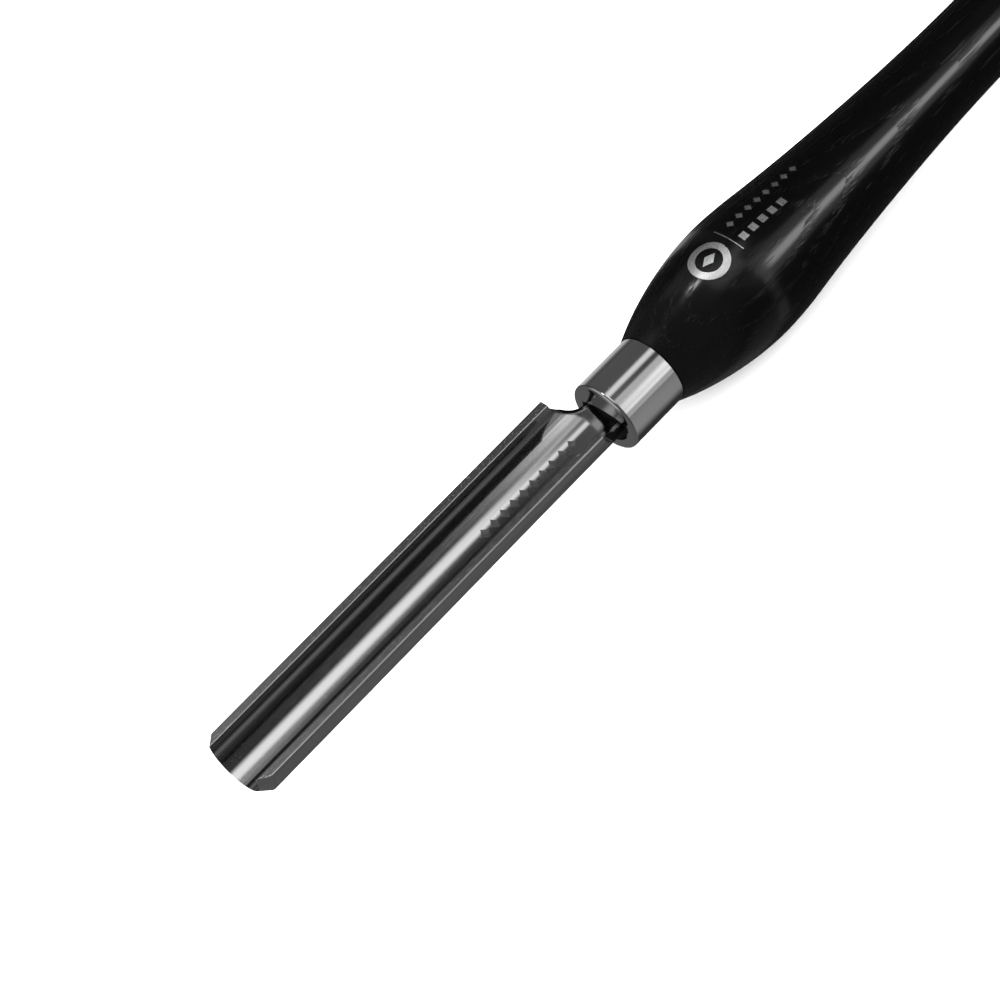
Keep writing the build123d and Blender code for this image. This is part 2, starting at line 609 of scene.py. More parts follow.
def skin_rings(build: BMesh, rings: list[list[Triple]], closed: bool, capped: bool = False) -> None:
    """Join rings of equal length with quads.

    Args:
        build: the mesh to add to.
        rings: points of each ring, in millimetres.
        closed: whether the last ring joins the first.
        capped: whether the first and the last ring are filled with a face.
    """
    made = [[build.verts.new(point) for point in ring] for ring in rings]
    pairs = list(zip(made, made[1:])) + ([(made[-1], made[0])] if closed else [])
    for near, far in pairs:
        for i, corner in enumerate(near):
            j = (i + 1) % len(near)
            build.faces.new((corner, near[j], far[j], far[i]))
    if capped:
        build.faces.new(list(reversed(made[0])))
        build.faces.new(made[-1])


def report(piece: Object) -> None:
    """Log a piece's name and how many faces it has."""
    LOG.info("%s: %d faces", piece.name, len(piece.data.polygons))


class Work(Enum):
    """What a face of the blade belongs to, by the number of its finish."""

    OUTSIDE = 0
    RIM = 1
    FLUTE = 2
    BEVEL = 3
    NECK = 4
    # black resin colour next to the ferrule: partly adhesive smear, partly painted shade
    SMEAR = 5
    CORNER = 6


@dataclass
class Blade:
    """The gouge's blade: a U of steel with an outside bevel, cut down to a neck and a tang.

    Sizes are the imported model's own, in millimetres.
    """

    places: ToolPlaces
    finishes: SteelFinishes
    wall: float = 3.05
    side_height: float = 1.5
    bevel_angle: float = 40.0
    edge_land: float = 0.08
    flute_overrun: float = 4.0
    scoop_radius: float = 11.1
    neck_top: float = 1.95
    neck_half_width: float = 7.6
    relief_radius: float = 7.5
    # how far before the ferrule, and how far from the middle, the black band of adhesive smear and painted
    # shade reaches
    smear_and_shade_length: float = 7.3
    smear_and_shade_from_middle: float = 7.0
    tang_end_half_width: float = 4.2
    tang_end_chamfer: float = 1.6
    outer_break: float = 0.36
    inner_break: float = 0.28
    outer_steps: int = 44
    flute_steps: int = 44
    scoop_steps: int = 44
    relief_steps: int = 24
    tang_steps: int = 8
    straight_step: float = 7.0
    short_step: float = 0.05
    least_step: float = 0.004
    bevel_shares: tuple[float, ...] = (0.25, 0.5, 0.75)
    heel_offsets: tuple[float, ...] = (-0.35, -0.12, 0.12, 0.35)
    horn_gaps: Pair = (0.05, 0.4)
    corner_shares: Triple = (0.0, 0.33, 0.67)
    rim_shares: tuple[float, ...] = (0.0, 0.08, 0.3, 0.7, 0.92)
    most_rounded: float = 0.3

    def __post_init__(self) -> None:
        """Work out the places that follow from the sizes."""
        self.flute_radius = self.places.half_width - self.wall
        self.belly_centre = self.places.rim - self.side_height
        self.setback = (self.wall - self.edge_land) / math.tan(math.radians(self.bevel_angle))
        self.neck_height = self.places.axis + self.neck_top
        self.flute_end = self.places.face + self.flute_overrun
        self.scoop_height = self.neck_height + self.scoop_radius
        self.horn_angle = math.acos((self.scoop_height - self.places.rim) / self.scoop_radius)
        self.horn = self.places.face - self.scoop_radius * math.sin(self.horn_angle)

    def outer_radius(self, x: float) -> float:
        """Return the radius of the outside at a place along the blade.

        Args:
            x: the place, in millimetres.

        Returns:
            The radius in millimetres.
        """
        along = min(1.0, max(0.0, (x - self.places.edge) / self.setback))
        start = self.flute_radius + self.edge_land
        return start + (self.places.half_width - start) * along

    def floor_rise(self, x: float) -> float:
        """Return how far the flute's floor is lifted: none until the cutter stops in the mouth."""
        return 0.0 if x <= self.flute_end else self.scoop_radius

    def top_height(self, x: float) -> float:
        """Return the height that the blade is cut down to at a place along it.

        Args:
            x: the place, in millimetres.

        Returns:
            The height above the floor.
        """
        back = self.places.face - x
        if back <= 0:
            return self.neck_height
        if x <= self.horn:
            return self.places.rim
        return min(self.places.rim, self.scoop_height - math.sqrt(self.scoop_radius**2 - back**2))

    def half_width_at(self, x: float) -> float:
        """Return the half width that the neck cuts and the tang's taper leave.

        Args:
            x: the place, in millimetres.

        Returns:
            The half width in millimetres.
        """
        back = self.places.face - x
        if back >= self.relief_radius:
            return self.places.half_width
        if back > 0:
            centre = self.neck_half_width + self.relief_radius
            return min(self.places.half_width, centre - math.sqrt(self.relief_radius**2 - back**2))
        taper_end = self.places.tang_end - self.tang_end_chamfer
        if x > taper_end:
            return self.tang_end_half_width - (x - taper_end)
        share = -back / (taper_end - self.places.face)
        return self.neck_half_width + (self.tang_end_half_width - self.neck_half_width) * share

    def stations(self) -> list[float]:
        """Return the places along the blade that have a section.

        Returns:
            The places in millimetres, from the cutting edge to the tang's end.
        """
        edge, face, end = self.places.edge, self.places.face, self.places.tang_end
        heel = edge + self.setback
        found = [edge, edge + self.short_step] + [edge + self.setback * part for part in self.bevel_shares]
        found += [heel + offset for offset in self.heel_offsets]
        straight = face - self.scoop_radius - heel
        count = round(straight / self.straight_step)
        found += [heel + straight * (i + 1) / count for i in range(count)]
        found += [self.flute_end, self.flute_end + self.short_step]
        turns = [self.horn_angle * i / self.scoop_steps for i in range(self.scoop_steps + 1)]
        found += [face - self.scoop_radius * math.sin(turn) for turn in turns]
        turns = [math.pi / 2 * i / self.relief_steps for i in range(self.relief_steps + 1)]
        found += [face - self.relief_radius * math.sin(turn) for turn in turns]
        found += [self.horn - gap for gap in self.horn_gaps]
        tang = end - self.tang_end_chamfer - face
        found += [face + tang * (i + 1) / self.tang_steps for i in range(self.tang_steps)] + [end]
        found.sort()
        kept = [found[0]]
        for x in found[1:]:
            if x - kept[-1] > self.least_step:
                kept.append(x)
        return kept

    def half_section(self, x: float) -> tuple[list[Pair], list[Work]]:
        """Return the right half of the section at a place along the blade.

        Args:
            x: the place, in millimetres.

        Returns:
            Points (y, z) from the belly's lowest point over the rim to the flute's floor,
            and what the face after each point belongs to.
        """
        top = self.top_height(x)
        radius = self.outer_radius(x)
        reach = min(self.half_width_at(x), radius)
        centre = self.belly_centre
        side_angle = math.asin(min(1.0, reach / radius))
        top_angle = math.acos((centre - top) / radius) if top < centre else math.pi / 2
        angle = min(side_angle, top_angle)
        side_foot = centre - radius * math.cos(angle)
        corner = (radius * math.sin(angle), top)
        arc_length = radius * angle
        outer_length = arc_length + max(0.0, top - side_foot)

        def outer_at(length: float) -> Pair:
            """Return a point of the outside.

            Args:
                length: its distance along the outside from the belly's lowest point.

            Returns:
                The point (y, z).
            """
            if length <= arc_length:
                turn = length / radius
                return (radius * math.sin(turn), centre - radius * math.cos(turn))
            return (corner[0], side_foot + length - arc_length)

        flute_centre = centre + self.floor_rise(x)
        hollow = self.flute_radius
        drop = flute_centre - top
        if drop >= hollow:
            flute_angle, side, inner = 0.0, 0.0, (0.0, top)
        else:
            flute_angle = math.acos(max(0.0, drop) / hollow)
            side = max(0.0, -drop)
            inner = (hollow * math.sin(flute_angle), top)
        flute_length = side + hollow * flute_angle

        def flute_at(length: float) -> Pair:
            """Return a point of the flute.

            Args:
                length: its distance along the flute from the rim.

            Returns:
                The point (y, z).
            """
            if flute_angle == 0.0:
                return inner
            if length <= side:
                return (inner[0], top - length)
            turn = flute_angle - (length - side) / hollow
            return (hollow * math.sin(turn), flute_centre - hollow * math.cos(turn))

        rim_width = corner[0] - inner[0]
        outer_cut = min(self.outer_break, self.most_rounded * rim_width, self.most_rounded * outer_length)
        inner_cut = min(self.inner_break, self.most_rounded * rim_width, self.most_rounded * flute_length)
        usable = outer_length - outer_cut
        points = [outer_at(usable * i / self.outer_steps) for i in range(self.outer_steps)]
        kinds = [Work.OUTSIDE] * self.outer_steps
        before, after = outer_at(usable), (corner[0] - outer_cut, top)
        points += [bend(before, corner, after, share) for share in self.corner_shares]
        kinds += [Work.CORNER] * len(self.corner_shares)
        rim_end = (inner[0] + inner_cut, top)
        points += [(after[0] + (rim_end[0] - after[0]) * share, top) for share in self.rim_shares]
        kinds += [Work.RIM] * len(self.rim_shares)
        flute_start = flute_at(inner_cut)
        points += [bend(rim_end, inner, flute_start, share) for share in self.corner_shares]
        kinds += [Work.FLUTE if flute_angle else Work.RIM] * len(self.corner_shares)
        usable = flute_length - inner_cut
        points += [flute_at(inner_cut + usable * i / self.flute_steps) for i in range(self.flute_steps + 1)]
        kinds += [Work.FLUTE] * (self.flute_steps + 1)
        return points, kinds

    def finished_as(self, kind: Work, x: float, aside: float) -> Work:
        """Return how a face is finished.

        Args:
            kind: the part of the section that it belongs to.
            x: its place along the blade.
            aside: its distance from the middle of the blade.

        Returns:
            What it belongs to, with the bevel, the neck and the black band by the ferrule told apart; that
            band is partly adhesive smear and partly painted shade where the neck runs into the ferrule.
        """
        if kind is Work.OUTSIDE and x < self.places.edge + self.setback:
            kind = Work.BEVEL
        if kind is Work.CORNER:
            kind = Work.FLUTE if x < self.horn else Work.NECK
        if kind is Work.RIM and x > self.horn:
            kind = Work.NECK
        # the blade's outside and the neck's sides just before the ferrule get the black resin colour: partly
        # adhesive smear, partly painted shade
        smear_and_shade = kind is Work.OUTSIDE or (kind is Work.NECK and aside > self.smear_and_shade_from_middle)
        return Work.SMEAR if smear_and_shade and x > self.places.face - self.smear_and_shade_length else kind

    def build(self) -> Object:
        """Build and dress the blade.

        Returns:
            The blade's object.
        """
        works = [self.finishes.belly, self.finishes.rim, self.finishes.flute]
        # the last finish is black resin for the band by the ferrule: partly adhesive smear, partly painted
        # shade
        works += [self.finishes.bevel, self.finishes.neck, BeddingAdhesive("smear_and_shade_adhesive")]
        build = bmesh.new()
        rings, labels = [], []
        for x in self.stations():
            half, kinds = self.half_section(x)
            left = [(-y, z) for y, z in reversed(half[1:-1])]
            rings.append([(x, y, z) for y, z in half + left])
            labels.append(kinds[:-1] + list(reversed(kinds[:-1])))
        skin_rings(build, rings, closed=False, capped=True)
        build.faces.ensure_lookup_table()
        count = len(rings[0])
        for number, (near, far) in enumerate(zip(rings, rings[1:])):
            x = (near[0][0] + far[0][0]) / 2
            for i, kind in enumerate(labels[number]):
                face = build.faces[number * count + i]
                face.material_index = self.finished_as(kind, x, abs(near[i][1])).value
        build.faces[(len(rings) - 1) * count].material_index = Work.BEVEL.value
        piece = finish_mesh(build, "blade_ground")
        for work in works:
            piece.data.materials.append(work.material())
        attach(piece, "root")
        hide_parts("blade")
        report(piece)
        return piece


def bend(start: Pair, corner: Pair, end: Pair, share: float) -> Pair:
    """Return a point of the rounded corner between two places, at a share of the way."""
    keep = 1.0 - share
    return tuple(
        keep * keep * a + 2 * keep * share * b + share * share * c
        for a, b, c in zip(start, corner, end)
    )


@dataclass
class MouthOutline:
    """The ferrule's hole: round, with a low arched top.

    Args:
        axis: height of the tool's axis.
        radius: radius of the round part.
        crown: height of the arch's middle above the axis.
        arch_radius: radius of the arch.
        round_steps: places round the round part.
        arch_steps: places along the arch.
    """

    axis: float
    radius: float = 8.696
    crown: float = 4.055
    arch_radius: float = 24.0
    round_steps: int = 96
    arch_steps: int = 44

    def corner_angle(self) -> float:
        """Work out where the arch meets the round part.

        Returns:
            The angle about the axis, in radians up from +Y.
        """
        drop = self.arch_radius - self.crown
        rise = (self.arch_radius**2 - drop**2 - self.radius**2) / (2 * drop)
        return math.asin(rise / self.radius)

    def angles(self) -> list[float]:
        """Spread the places round the hole.

        Returns:
            Their angles about the axis, over the arch and then round the rest.
        """
        start = self.corner_angle()
        across = math.pi - 2 * start
        arch = [start + across * i / self.arch_steps for i in range(self.arch_steps)]
        sweep = 2 * math.pi - across
        round_part = [start + across + sweep * i / self.round_steps for i in range(self.round_steps)]
        return arch + round_part

    def ring(self, x: float, grow: float) -> list[Triple]:
        """Return the outline at a place along the tool.

        Args:
            x: the place, in millimetres.
            grow: how far the outline is grown outwards.

        Returns:
            The points of the outline.
        """
        points = []
        drop, arch = self.arch_radius - self.crown, self.arch_radius + grow
        for angle in self.angles():
            rise = math.sin(angle)
            away = self.radius + grow
            if rise > 0:
                reach = math.sqrt(arch**2 - (drop * math.cos(angle)) ** 2) - drop * rise
                away = min(away, reach)
            points.append((x, away * math.cos(angle), self.axis + away * rise))
        return points

    def circle(self, x: float, radius: float) -> list[Triple]:
        """Return a circle at a place along the tool with points at the hole's angles."""
        turns = self.angles()
        return [(x, radius * math.cos(turn), self.axis + radius * math.sin(turn)) for turn in turns]


@dataclass
class Ferrule:
    """The turned steel cap between blade and handle, with its hole for the neck."""

    places: ToolPlaces
    finishes: SteelFinishes
    mouth: MouthOutline
    bore_radius: float = 10.246
    cap: float = 2.5
    edge_round: float = 1.0
    rear_break: float = 0.25
    mouth_break: float = 0.18
    round_steps: int = 9
    guard: float = 0.3
    front_shares: tuple[float, ...] = (0.06, 0.3, 0.6, 0.94)
    wall_shares: tuple[float, ...] = (0.25, 0.5, 0.75)

    def build(self) -> Object:
        """Build and dress the ferrule.

        Returns:
            The ferrule's object.
        """
        face, shoulder = self.places.face, self.places.shoulder
        outside, rounding = self.places.ferrule_radius, self.edge_round
        ring, circle = self.mouth.ring, self.mouth.circle
        rings = [ring(face + self.cap, 0.0), ring(face + self.mouth_break, 0.0), ring(face, self.mouth_break)]
        inner, outer = rings[-1], circle(face, outside - rounding)
        rings += [[mix(a, b, share) for a, b in zip(inner, outer)] for share in self.front_shares]
        for i in range(self.round_steps + 1):
            turn = math.pi / 2 * i / self.round_steps
            along = face + rounding * (1 - math.cos(turn))
            rings.append(circle(along, outside - rounding * (1 - math.sin(turn))))
        rings.append(circle(face + rounding + self.guard, outside))
        rings += [circle(face + (shoulder - face) * share, outside) for share in self.wall_shares]
        rear = shoulder - self.rear_break
        rings += [circle(rear - self.guard, outside), circle(rear, outside)]
        rings += [circle(shoulder, outside - self.rear_break), circle(shoulder, self.bore_radius)]
        rings.append(circle(face + self.cap, self.bore_radius))
        build = bmesh.new()
        skin_rings(build, rings, closed=True)
        piece = finish_mesh(build, "ferrule_turned")
        piece.data.materials.append(self.finishes.ferrule.material())
        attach(piece, "root")
        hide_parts("ferrule")
        report(piece)
        return piece


def mix(start: Triple, end: Triple, share: float) -> Triple:
    """Return the point at a share of the way between two points."""
    return tuple(a + (b - a) * share for a, b in zip(start, end))


@dataclass
class AdhesiveBed:
    """The black adhesive round the tang, with the lumpy front that shows in the ferrule's hole."""

    places: ToolPlaces
    mouth: MouthOutline
    recess: float = 1.95
    stand_off: float = 0.3
    lump_height: float = 0.30
    lump_scale: float = 0.55
    lump_rise: float = 0.8
    level_power: int = 6
    cap: float = 2.5
    cap_gap: float = 0.02
    front_rings: int = 14
    seed_shift: float = 7.3

    def front(self, share: float) -> list[Triple]:
        """Return one ring of the front, lumpy in the middle and level at its edge.

        Args:
            share: size of the ring, as a share of the hole.

        Returns:
            The points of the ring.
        """
        points = []
        level = self.places.face + self.recess - self.stand_off
        for _x, y, z in self.mouth.ring(0.0, 0.0):
            y, z = y * share, self.places.axis + (z - self.places.axis) * share
            place = Vector((self.seed_shift, y, z)) * self.lump_scale
            lump = noise.fractal(place, 1.0, 2.0, 3) * self.lump_height * (1.0 - share**self.level_power)
            points.append((level - lump * self.lump_rise, y, z))
        return points

    def build(self) -> Object:
        """Build and dress the adhesive.

        Returns:
            The adhesive's object.
        """
        rings = [self.front((i + 1) / self.front_rings) for i in range(self.front_rings)]
        rings.append(self.mouth.ring(self.places.face + self.cap - self.cap_gap, 0.0))
        build = bmesh.new()
        skin_rings(build, rings, closed=False, capped=True)
        piece = finish_mesh(build, "adhesive_front", sharp_degrees=60.0)
        piece.data.materials.append(BeddingAdhesive().material())
        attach(piece, "root")
        report(piece)
        bed = frame["nodes"]["tang_adhesive"]
        bed.data.materials.clear()
        bed.data.materials.append(piece.data.materials[0])
        return piece


@dataclass
class AdhesiveAndShadeBead:
    """The black bead on the ferrule's face beside the neck: partly adhesive that squeezed out and set there,
    partly painted shade for the shadow and gap beside the neck.

    The path is given as (y, height above the axis) in the plane of the ferrule's face.
    """

    places: ToolPlaces
    path: tuple[Pair, ...] = ((1.6, -8.3), (-1.6, -7.4), (-4.6, -5.0), (-7.0, -2.2), (-8.7, 0.6), (-8.9, 2.9))
    thick: float = 1.25
    proud: float = 0.55
    lump: float = 0.5
    lump_scale: float = 0.6
    lump_seed: float = 3.1
    ripple: float = 0.22
    ripple_scale: float = 0.9
    tip: float = 0.0004
    steps: int = 9
    sides: int = 20

    def ring(self, middle: Pair, along: Vector, share: float) -> list[Triple]:
        """Return the bead's outline at a place on its path.

        Args:
            middle: the place (y, height above the axis).
            along: the way that the path runs there.
            share: how far along the path it is, from 0 to 1.

        Returns:
            The points of the outline.
        """
        y, rise = middle
        across = along.cross(Vector((1.0, 0.0, 0.0)))
        taper = math.sqrt(max(self.tip, 1.0 - abs(2 * share - 1) ** 3))
        wave = 1.0 + self.lump * noise.noise(Vector((y, rise, self.lump_seed)) * self.lump_scale)
        points = []
        for i in range(self.sides):
            turn = 2 * math.pi * i / self.sides
            spot = Vector((y + math.cos(turn), rise, math.sin(turn)))
            size = taper * wave * (1.0 + self.ripple * noise.noise(spot * self.ripple_scale))
            out = self.proud * size * math.sin(turn)
            place = Vector((self.places.face - out, y, self.places.axis + rise))
            points.append(tuple(place + across * self.thick * size * math.cos(turn)))
        return points

    def build(self) -> Object:
        """Build and dress the bead.

        Returns:
            The bead's object.
        """
        line = smooth_through(list(self.path), self.steps)
        last = len(line) - 1
        rings = []
        for number, middle in enumerate(line):
            before, after = line[max(0, number - 1)], line[min(last, number + 1)]
            along = Vector((0.0, after[0] - before[0], after[1] - before[1])).normalized()
            rings.append(self.ring(middle, along, number / last))
        build = bmesh.new()
        skin_rings(build, rings, closed=False, capped=True)
        piece = finish_mesh(build, "adhesive_bead", sharp_degrees=70.0)
        # the bead takes the black resin colour; where it stands for the shadow and gap beside the neck it is
        # painted shade
        piece.data.materials.append(bpy.data.materials["black_adhesive"])
        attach(piece, "root")
        report(piece)
        return piece


# Geometry Nodes
def geometry_tree(name: str, inputs: dict[str, tuple[str, object]]) -> Wiring:
    """Start a Geometry Nodes tree with geometry in and out and named sizes.

    Args:
        name: the tree's name.
        inputs: further inputs, with their socket type and default.

    Returns:
        The wiring of the new tree.
    """
    tree = bpy.data.node_groups.new(name, "GeometryNodeTree")
    tree.interface.new_socket("Geometry", in_out="INPUT", socket_type="NodeSocketGeometry")
    tree.interface.new_socket("Geometry", in_out="OUTPUT", socket_type="NodeSocketGeometry")
    for label, (kind, default) in inputs.items():
        socket = tree.interface.new_socket(label, in_out="INPUT", socket_type=kind)
        if default is not None:
            socket.default_value = default
    return Wiring(tree)


def run_tree(source: bpy.types.Mesh, name: str, wiring: Wiring, values: dict[str, object]) -> Object:
    """Run a Geometry Nodes tree on a mesh and keep the plain result.

    Args:
        source: the mesh that the tree starts from.
        name: the name of the finished object.
        wiring: the tree's wiring.
        values: the named inputs and what they are set to.

    Returns:
        An object at the origin with a plain mesh.
    """
    carrier = show(source, name + "_source")
    modifier = carrier.modifiers.new("shape", "NODES")
    modifier.node_group = wiring.tree
    for item in wiring.tree.interface.items_tree:
        if item.item_type == "SOCKET" and item.in_out == "INPUT" and item.name in values:
            modifier[item.identifier] = values[item.name]
    bpy.context.view_layer.update()
    graph = bpy.context.evaluated_depsgraph_get()
    mesh = bpy.data.meshes.new_from_object(carrier.evaluated_get(graph))
    mesh.name = name
    bpy.data.objects.remove(carrier)
    return show(mesh, name)


def turning_tree() -> Wiring:
    """Build the tree that turns an outline about the tool's axis, as a lathe does.

    Returns:
        The tree's wiring. The outline is a row of points with x along the tool and z as radius.
    """
    inputs = {
        "Sides": ("NodeSocketInt", 128),
        "Axis Height": ("NodeSocketFloat", 0.02),
        "Finish": ("NodeSocketMaterial", None),
    }
    wiring = geometry_tree("turning", inputs)
    source = wiring.add("NodeGroupInput")
    count = wiring.add("GeometryNodeAttributeDomainSize", {"Geometry": source.outputs["Geometry"]})
    points = count.outputs["Point Count"]
    columns = wiring.math("ADD", source.outputs["Sides"], 1.0)
    grid = wiring.add("GeometryNodeMeshGrid", {"Vertices X": columns, "Vertices Y": points})
    index = wiring.add("GeometryNodeInputIndex").outputs["Index"]
    row = wiring.math("FLOORED_MODULO", index, points)
    column = wiring.math("FLOOR", wiring.math("DIVIDE", wiring.math("ADD", index, 0.5), points))
    angle = wiring.math("DIVIDE", wiring.math("MULTIPLY", column, 2 * math.pi), source.outputs["Sides"])
    position = wiring.add("GeometryNodeInputPosition").outputs["Position"]
    outline_in = source.outputs["Geometry"]
    sample = wiring.add("GeometryNodeSampleIndex", {"Geometry": outline_in}, data_type="FLOAT_VECTOR")
    wiring.tree.links.new(position, next(s for s in sample.inputs if s.name == "Value" and s.enabled))
    wiring.fill(sample, {"Index": row})
    outline = wiring.add("ShaderNodeSeparateXYZ", {0: sample.outputs[0]}).outputs
    across = wiring.math("MULTIPLY", outline["Z"], wiring.math("COSINE", angle))
    sine = wiring.math("SINE", angle)
    height = wiring.math("MULTIPLY_ADD", outline["Z"], sine, source.outputs["Axis Height"])
    turned = wiring.add("ShaderNodeCombineXYZ", {"X": outline["X"], "Y": across, "Z": height})
    given = {"Geometry": grid.outputs["Mesh"], "Position": turned.outputs["Vector"]}
    placed = wiring.add("GeometryNodeSetPosition", given).outputs["Geometry"]
    given = {"Geometry": placed, "Distance": TURNED_WELD * MM}
    closed = wiring.add("GeometryNodeMergeByDistance", given).outputs["Geometry"]
    smooth = wiring.add("GeometryNodeSetShadeSmooth", {"Geometry": closed}).outputs["Geometry"]
    return end_tree(wiring, smooth, source.outputs["Finish"])


def end_tree(wiring: Wiring, geometry: Socket, finish: Socket) -> Wiring:
    """End a Geometry Nodes tree: make its instances real and give it a material.

    Args:
        wiring: the tree's wiring.
        geometry: the finished shape.
        finish: the material's socket.

    Returns:
        The tree's wiring.
    """
    real = wiring.add("GeometryNodeRealizeInstances", {"Geometry": geometry}).outputs["Geometry"]
    dressed = wiring.add("GeometryNodeSetMaterial", {"Geometry": real, "Material": finish})
    wiring.add("NodeGroupOutput", {"Geometry": dressed.outputs["Geometry"]})
    return wiring


def mark_tree() -> Wiring:
    """Build the tree that lays a flat mark on a curved surface from above.

    Returns:
        The tree's wiring. The flat mark lies in XY with z as its height over the surface;
        a row of small tokens is added to it, evenly spaced.
    """
    inputs = {
        "Surface": ("NodeSocketObject", None),
        "Token": ("NodeSocketObject", None),
        "Count": ("NodeSocketInt", 8),
        "Pitch": ("NodeSocketFloat", 0.004),
        "Start": ("NodeSocketVector", (0.0, 0.0, 0.0)),
        "Finish": ("NodeSocketMaterial", None),
    }
    wiring = geometry_tree("laid_mark", inputs)
    source = wiring.add("NodeGroupInput")
    step = wiring.add("ShaderNodeCombineXYZ", {"X": source.outputs["Pitch"]})
    given = {"Count": source.outputs["Count"], "Start Location": source.outputs["Start"]}
    given["Offset"] = step.outputs["Vector"]
    line = wiring.add("GeometryNodeMeshLine", given, mode="OFFSET")
    token = wiring.add("GeometryNodeObjectInfo", {"Object": source.outputs["Token"]})
    given = {"Points": line.outputs["Mesh"], "Instance": token.outputs["Geometry"]}
    row = wiring.add("GeometryNodeInstanceOnPoints", given)
    real = wiring.add("GeometryNodeRealizeInstances", {"Geometry": row.outputs["Instances"]})
    joined = wiring.add("GeometryNodeJoinGeometry", {"Geometry": source.outputs["Geometry"]})
    wiring.fill(joined, {"Geometry": real.outputs["Geometry"]})
    position = wiring.add("GeometryNodeInputPosition").outputs["Position"]
    flat = wiring.add("ShaderNodeSeparateXYZ", {0: position}).outputs
    above = wiring.add("ShaderNodeCombineXYZ", {"X": flat["X"], "Y": flat["Y"], "Z": 1.0})
    surface = wiring.add("GeometryNodeObjectInfo", {"Object": source.outputs["Surface"]})
    given = {"Target Geometry": surface.outputs["Geometry"], "Source Position": above.outputs["Vector"]}
    given |= {"Ray Direction": (0.0, 0.0, -1.0), "Ray Length": 2.0}
    ray = wiring.add("GeometryNodeRaycast", given).outputs
    on_top = wiring.vector("ADD", ray["Hit Position"], wiring.scaled(ray["Hit Normal"], flat["Z"]))
    given = {"Geometry": joined.outputs["Geometry"], "Position": on_top}
    placed = wiring.add("GeometryNodeSetPosition", given).outputs["Geometry"]
    return end_tree(wiring, placed, source.outputs["Finish"])


# Handle and marks
@dataclass
class Handle:
    """The turned ash handle, with its tenon inside the ferrule and the bore for the tang."""

    places: ToolPlaces
    wood: EbonisedAsh = field(default_factory=EbonisedAsh)
    tenon_radius: float = 10.2
    tenon_from_face: float = 2.55
    mouth_bore_radius: float = 8.396
    mouth_bore_depth: float = 46.0
    deep_bore_radius: float = 7.1
    bore_end_past_tang: float = 5.0
    butt_flat_radius: float = 5.0
    shoulder_step: float = 0.35
    station_step: float = 3.0
    end_step: float = 1.5
    end_margin: float = 0.5
    near_shoulder: float = 12.0
    near_butt: float = 16.0
    outside_margin: float = 1.0
    smooth_steps: int = 5
    sides: int = 168

    def outline_stations(self) -> list[Pair]:
        """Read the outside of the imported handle.

        Returns:
            Places (x, radius) from the shoulder to the butt, closer together near both ends.
        """
        first, last = self.places.shoulder, self.places.butt
        least_radius = self.mouth_bore_radius + self.outside_margin
        slots: dict[tuple[bool, int], Pair] = {}
        for vertex in frame["nodes"]["handle"].data.vertices:
            x = vertex.co.x / MM
            radius = math.hypot(vertex.co.y, vertex.co.z - self.places.axis * MM) / MM
            if x < first + self.end_margin or x > last - self.end_margin or radius < least_radius:
                continue
            near_end = last - x < self.near_butt or x - first < self.near_shoulder
            step = self.end_step if near_end else self.station_step
            number = round((x - first) / step)
            slot, goal = (near_end, number), first + number * step
            if slot not in slots or abs(x - goal) < abs(slots[slot][0] - goal):
                slots[slot] = (x, radius)
        return sorted(slots.values())

    def outline(self) -> list[Pair]:
        """Return the whole outline.

        Returns:
            Places (x, radius) from the bottom of the bore over the outside to the butt.
        """
        first, last = self.places.shoulder, self.places.butt
        start = (first, self.places.ferrule_radius + self.shoulder_step)
        found = [start] + self.outline_stations() + [(last, self.butt_flat_radius)]
        outside = smooth_through(found, self.smooth_steps)
        face = self.places.face
        tenon = face + self.tenon_from_face
        bore_step = face + self.mouth_bore_depth
        bore_end = self.places.tang_end + self.bore_end_past_tang
        inside = [
            (bore_end, 0.0),
            (bore_end, self.deep_bore_radius),
            (bore_step, self.deep_bore_radius),
            (bore_step, self.mouth_bore_radius),
            (tenon, self.mouth_bore_radius),
            (tenon, self.tenon_radius),
            (first, self.tenon_radius),
        ]
        return inside + outside + [(last, 0.0)]

    def build(self) -> Object:
        """Turn and dress the handle.

        Returns:
            The handle's object.
        """
        points = [(x * MM, 0.0, radius * MM) for x, radius in self.outline()]
        outline = bpy.data.meshes.new("handle_outline")
        outline.from_pydata(points, [(i, i + 1) for i in range(len(points) - 1)], [])
        values = {
            "Sides": self.sides,
            "Axis Height": self.places.axis * MM,
            "Finish": self.wood.material(),
        }
        piece = run_tree(outline, "handle_turned", turning_tree(), values)
        piece.data.set_sharp_from_angle(angle=math.radians(SHARP_DEGREES))
        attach(piece, "root")
        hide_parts("handle")
        report(piece)
        return piece


def smooth_through(points: list[Pair], steps: int) -> list[Pair]:
    """Return a smooth line through points, with a number of steps between each two.

    Args:
        points: the points to pass through.
        steps: how many pieces each stretch is cut into.

    Returns:
        The points of the smooth line.
    """
    padded = [points[0]] + points + [points[-1]]
    result = []
    for before, start, end, after in zip(padded, padded[1:], padded[2:], padded[3:]):
        for i in range(steps):
            share = i / steps
            result.append(tuple(hermite(a, b, c, d, share) for a, b, c, d in zip(before, start, end, after)))
    return result + [points[-1]]


def hermite(before: float, start: float, end: float, after: float, share: float) -> float:
    """Return the Catmull-Rom value between two of four values.

    Args:
        before: the value before the start.
        start: the value at share 0.
        end: the value at share 1.
        after: the value after the end.
        share: the share of the way from start to end.

    Returns:
        The value.
    """
    leave, arrive = (end - before) / 2, (after - start) / 2
    square, cube = share * share, share**3
    return (
        (2 * cube - 3 * square + 1) * start
        + (cube - 2 * square + share) * leave
        + (3 * square - 2 * cube) * end
        + (cube - square) * arrive
    )


